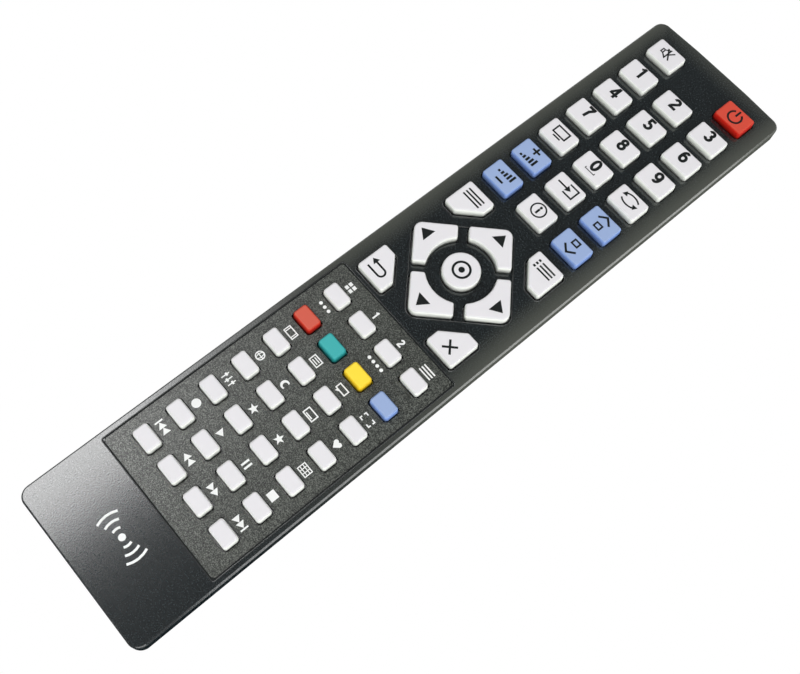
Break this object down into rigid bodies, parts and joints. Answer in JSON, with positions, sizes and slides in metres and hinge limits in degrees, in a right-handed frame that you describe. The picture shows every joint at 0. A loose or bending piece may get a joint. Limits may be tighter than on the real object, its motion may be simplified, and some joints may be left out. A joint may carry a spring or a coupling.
{
  "type": "television remote control",
  "caption": "Slim handset with number keys, a four-way arrow pad round a central key, a panel of small keys and a sliding battery door.",
  "frame": {"origin": "bottom centre of the handset lying on its back", "axes": "+X to the handset's right, +Y towards its infrared end, +Z out of the key face"},
  "size_m": [0.047, 0.22, 0.0222],
  "materials": {
    "case_black": "fine satin grain",
    "panel_grey": "grained plate",
    "window_dark": "polished",
    "mat_rubber": "moulded rubber",
    "board_green": "laminate",
    "chip_black": "moulded",
    "can_blue": "sleeved can",
    "lens_clear": "clear tinted lens",
    "contact_metal": "plated spring steel",
    "cell_jacket": "plain jacket",
    "screw_steel": "zinc plated",
    "key_white": "satin",
    "key_power_red": "satin",
    "key_soft_blue": "satin",
    "key_red": "satin",
    "key_teal": "satin",
    "key_yellow": "satin",
    "key_blue": "satin"
  },
  "bodies": {
    "case": {"front_shell": "case_black", "legend_overlay": "panel_grey", "rear_shell": "case_black", "ir_window": "window_dark", "keypad_mat": "mat_rubber", "circuit_board": "board_green", "controller_chip": "chip_black", "reservoir_capacitor": "can_blue", "ir_emitter": "lens_clear", "bridge_contact": "contact_metal", "positive_contact": "contact_metal", "negative_contact": "contact_metal", "battery_cells": "cell_jacket", "case_screw": "screw_steel"},
    "battery_door": {"battery_door": "case_black"},
    "key_ok": {"key_ok": "key_white"},
    "key_power": {"key_power": "key_power_red"},
    "key_volume_up": {"key_volume_up": "key_soft_blue"},
    "key_1": {"key_1": "key_white"},
    "key_up": {"key_up": "key_white"},
    "key_right": {"key_right": "key_white"},
    "key_menu": {"key_menu": "key_white"},
    "key_red": {"key_red": "key_red"},
    "keys_record_play": {"keys_record_play": "key_white"},
    "key_mute": {"key_mute": "key_white"},
    "key_2": {"key_2": "key_white"},
    "key_3": {"key_3": "key_white"},
    "key_4": {"key_4": "key_white"},
    "key_5": {"key_5": "key_white"},
    "key_6": {"key_6": "key_white"},
    "key_7": {"key_7": "key_white"},
    "key_8": {"key_8": "key_white"},
    "key_9": {"key_9": "key_white"},
    "key_tv": {"key_tv": "key_white"},
    "key_0": {"key_0": "key_white"},
    "key_swap": {"key_swap": "key_white"},
    "key_input": {"key_input": "key_white"},
    "key_channel_up": {"key_channel_up": "key_soft_blue"},
    "key_volume_down": {"key_volume_down": "key_soft_blue"},
    "key_info": {"key_info": "key_white"},
    "key_channel_down": {"key_channel_down": "key_soft_blue"},
    "key_guide": {"key_guide": "key_white"},
    "key_back": {"key_back": "key_white"},
    "key_exit": {"key_exit": "key_white"},
    "key_down": {"key_down": "key_white"},
    "key_left": {"key_left": "key_white"},
    "key_green": {"key_green": "key_teal"},
    "key_yellow": {"key_yellow": "key_yellow"},
    "key_blue": {"key_blue": "key_blue"},
    "keys_shortcut_left": {"keys_shortcut_left": "key_white"},
    "keys_shortcut_right": {"keys_shortcut_right": "key_white"},
    "keys_media_text": {"keys_media_text": "key_white"},
    "keys_language_screen": {"keys_language_screen": "key_white"},
    "keys_web_sleep": {"keys_web_sleep": "key_white"},
    "keys_subtitle_favourite": {"keys_subtitle_favourite": "key_white"},
    "keys_preset_star": {"keys_preset_star": "key_white"},
    "keys_star_grid": {"keys_star_grid": "key_white"},
    "keys_pause_stop": {"keys_pause_stop": "key_white"},
    "keys_previous_rewind": {"keys_previous_rewind": "key_white"},
    "keys_forward_next": {"keys_forward_next": "key_white"}
  },
  "joints": [
    {"name": "door_slide", "type": "slide", "parent": "case", "child": "battery_door", "axis": [0, -1, 0], "range_m": [0, 0.08]},
    {"name": "press_key_ok", "type": "slide", "parent": "case", "child": "key_ok", "axis": [0, 0, -1], "range_m": [0, 0.0008], "stiffness_N_per_m": 400, "springref_m": -0.001},
    {"name": "press_key_power", "type": "slide", "parent": "case", "child": "key_power", "axis": [0, 0, -1], "range_m": [0, 0.0008], "stiffness_N_per_m": 400, "springref_m": -0.001},
    {"name": "press_key_volume_up", "type": "slide", "parent": "case", "child": "key_volume_up", "axis": [0, 0, -1], "range_m": [0, 0.0008], "stiffness_N_per_m": 400, "springref_m": -0.001},
    {"name": "press_key_1", "type": "slide", "parent": "case", "child": "key_1", "axis": [0, 0, -1], "range_m": [0, 0.0008], "stiffness_N_per_m": 400, "springref_m": -0.001},
    {"name": "press_key_up", "type": "slide", "parent": "case", "child": "key_up", "axis": [0, 0, -1], "range_m": [0, 0.0008], "stiffness_N_per_m": 400, "springref_m": -0.001},
    {"name": "press_key_right", "type": "slide", "parent": "case", "child": "key_right", "axis": [0, 0, -1], "range_m": [0, 0.0008], "stiffness_N_per_m": 400, "springref_m": -0.001},
    {"name": "press_key_menu", "type": "slide", "parent": "case", "child": "key_menu", "axis": [0, 0, -1], "range_m": [0, 0.0008], "stiffness_N_per_m": 400, "springref_m": -0.001},
    {"name": "press_key_red", "type": "slide", "parent": "case", "child": "key_red", "axis": [0, 0, -1], "range_m": [0, 0.0008], "stiffness_N_per_m": 400, "springref_m": -0.001},
    {"name": "press_keys_record_play", "type": "slide", "parent": "case", "child": "keys_record_play", "axis": [0, 0, -1], "range_m": [0, 0.0008], "stiffness_N_per_m": 400, "springref_m": -0.001},
    {"name": "press_key_mute", "type": "slide", "parent": "case", "child": "key_mute", "axis": [0, 0, -1], "range_m": [0, 0.0008], "stiffness_N_per_m": 400, "springref_m": -0.001},
    {"name": "press_key_2", "type": "slide", "parent": "case", "child": "key_2", "axis": [0, 0, -1], "range_m": [0, 0.0008], "stiffness_N_per_m": 400, "springref_m": -0.001},
    {"name": "press_key_3", "type": "slide", "parent": "case", "child": "key_3", "axis": [0, 0, -1], "range_m": [0, 0.0008], "stiffness_N_per_m": 400, "springref_m": -0.001},
    {"name": "press_key_4", "type": "slide", "parent": "case", "child": "key_4", "axis": [0, 0, -1], "range_m": [0, 0.0008], "stiffness_N_per_m": 400, "springref_m": -0.001},
    {"name": "press_key_5", "type": "slide", "parent": "case", "child": "key_5", "axis": [0, 0, -1], "range_m": [0, 0.0008], "stiffness_N_per_m": 400, "springref_m": -0.001},
    {"name": "press_key_6", "type": "slide", "parent": "case", "child": "key_6", "axis": [0, 0, -1], "range_m": [0, 0.0008], "stiffness_N_per_m": 400, "springref_m": -0.001},
    {"name": "press_key_7", "type": "slide", "parent": "case", "child": "key_7", "axis": [0, 0, -1], "range_m": [0, 0.0008], "stiffness_N_per_m": 400, "springref_m": -0.001},
    {"name": "press_key_8", "type": "slide", "parent": "case", "child": "key_8", "axis": [0, 0, -1], "range_m": [0, 0.0008], "stiffness_N_per_m": 400, "springref_m": -0.001},
    {"name": "press_key_9", "type": "slide", "parent": "case", "child": "key_9", "axis": [0, 0, -1], "range_m": [0, 0.0008], "stiffness_N_per_m": 400, "springref_m": -0.001},
    {"name": "press_key_tv", "type": "slide", "parent": "case", "child": "key_tv", "axis": [0, 0, -1], "range_m": [0, 0.0008], "stiffness_N_per_m": 400, "springref_m": -0.001},
    {"name": "press_key_0", "type": "slide", "parent": "case", "child": "key_0", "axis": [0, 0, -1], "range_m": [0, 0.0008], "stiffness_N_per_m": 400, "springref_m": -0.001},
    {"name": "press_key_swap", "type": "slide", "parent": "case", "child": "key_swap", "axis": [0, 0, -1], "range_m": [0, 0.0008], "stiffness_N_per_m": 400, "springref_m": -0.001},
    {"name": "press_key_input", "type": "slide", "parent": "case", "child": "key_input", "axis": [0, 0, -1], "range_m": [0, 0.0008], "stiffness_N_per_m": 400, "springref_m": -0.001},
    {"name": "press_key_channel_up", "type": "slide", "parent": "case", "child": "key_channel_up", "axis": [0, 0, -1], "range_m": [0, 0.0008], "stiffness_N_per_m": 400, "springref_m": -0.001},
    {"name": "press_key_volume_down", "type": "slide", "parent": "case", "child": "key_volume_down", "axis": [0, 0, -1], "range_m": [0, 0.0008], "stiffness_N_per_m": 400, "springref_m": -0.001},
    {"name": "press_key_info", "type": "slide", "parent": "case", "child": "key_info", "axis": [0, 0, -1], "range_m": [0, 0.0008], "stiffness_N_per_m": 400, "springref_m": -0.001},
    {"name": "press_key_channel_down", "type": "slide", "parent": "case", "child": "key_channel_down", "axis": [0, 0, -1], "range_m": [0, 0.0008], "stiffness_N_per_m": 400, "springref_m": -0.001},
    {"name": "press_key_guide", "type": "slide", "parent": "case", "child": "key_guide", "axis": [0, 0, -1], "range_m": [0, 0.0008], "stiffness_N_per_m": 400, "springref_m": -0.001},
    {"name": "press_key_back", "type": "slide", "parent": "case", "child": "key_back", "axis": [0, 0, -1], "range_m": [0, 0.0008], "stiffness_N_per_m": 400, "springref_m": -0.001},
    {"name": "press_key_exit", "type": "slide", "parent": "case", "child": "key_exit", "axis": [0, 0, -1], "range_m": [0, 0.0008], "stiffness_N_per_m": 400, "springref_m": -0.001},
    {"name": "press_key_down", "type": "slide", "parent": "case", "child": "key_down", "axis": [0, 0, -1], "range_m": [0, 0.0008], "stiffness_N_per_m": 400, "springref_m": -0.001},
    {"name": "press_key_left", "type": "slide", "parent": "case", "child": "key_left", "axis": [0, 0, -1], "range_m": [0, 0.0008], "stiffness_N_per_m": 400, "springref_m": -0.001},
    {"name": "press_key_green", "type": "slide", "parent": "case", "child": "key_green", "axis": [0, 0, -1], "range_m": [0, 0.0008], "stiffness_N_per_m": 400, "springref_m": -0.001},
    {"name": "press_key_yellow", "type": "slide", "parent": "case", "child": "key_yellow", "axis": [0, 0, -1], "range_m": [0, 0.0008], "stiffness_N_per_m": 400, "springref_m": -0.001},
    {"name": "press_key_blue", "type": "slide", "parent": "case", "child": "key_blue", "axis": [0, 0, -1], "range_m": [0, 0.0008], "stiffness_N_per_m": 400, "springref_m": -0.001},
    {"name": "press_keys_shortcut_left", "type": "slide", "parent": "case", "child": "keys_shortcut_left", "axis": [0, 0, -1], "range_m": [0, 0.0008], "stiffness_N_per_m": 400, "springref_m": -0.001},
    {"name": "press_keys_shortcut_right", "type": "slide", "parent": "case", "child": "keys_shortcut_right", "axis": [0, 0, -1], "range_m": [0, 0.0008], "stiffness_N_per_m": 400, "springref_m": -0.001},
    {"name": "press_keys_media_text", "type": "slide", "parent": "case", "child": "keys_media_text", "axis": [0, 0, -1], "range_m": [0, 0.0008], "stiffness_N_per_m": 400, "springref_m": -0.001},
    {"name": "press_keys_language_screen", "type": "slide", "parent": "case", "child": "keys_language_screen", "axis": [0, 0, -1], "range_m": [0, 0.0008], "stiffness_N_per_m": 400, "springref_m": -0.001},
    {"name": "press_keys_web_sleep", "type": "slide", "parent": "case", "child": "keys_web_sleep", "axis": [0, 0, -1], "range_m": [0, 0.0008], "stiffness_N_per_m": 400, "springref_m": -0.001},
    {"name": "press_keys_subtitle_favourite", "type": "slide", "parent": "case", "child": "keys_subtitle_favourite", "axis": [0, 0, -1], "range_m": [0, 0.0008], "stiffness_N_per_m": 400, "springref_m": -0.001},
    {"name": "press_keys_preset_star", "type": "slide", "parent": "case", "child": "keys_preset_star", "axis": [0, 0, -1], "range_m": [0, 0.0008], "stiffness_N_per_m": 400, "springref_m": -0.001},
    {"name": "press_keys_star_grid", "type": "slide", "parent": "case", "child": "keys_star_grid", "axis": [0, 0, -1], "range_m": [0, 0.0008], "stiffness_N_per_m": 400, "springref_m": -0.001},
    {"name": "press_keys_pause_stop", "type": "slide", "parent": "case", "child": "keys_pause_stop", "axis": [0, 0, -1], "range_m": [0, 0.0008], "stiffness_N_per_m": 400, "springref_m": -0.001},
    {"name": "press_keys_previous_rewind", "type": "slide", "parent": "case", "child": "keys_previous_rewind", "axis": [0, 0, -1], "range_m": [0, 0.0008], "stiffness_N_per_m": 400, "springref_m": -0.001},
    {"name": "press_keys_forward_next", "type": "slide", "parent": "case", "child": "keys_forward_next", "axis": [0, 0, -1], "range_m": [0, 0.0008], "stiffness_N_per_m": 400, "springref_m": -0.001}
  ]
}
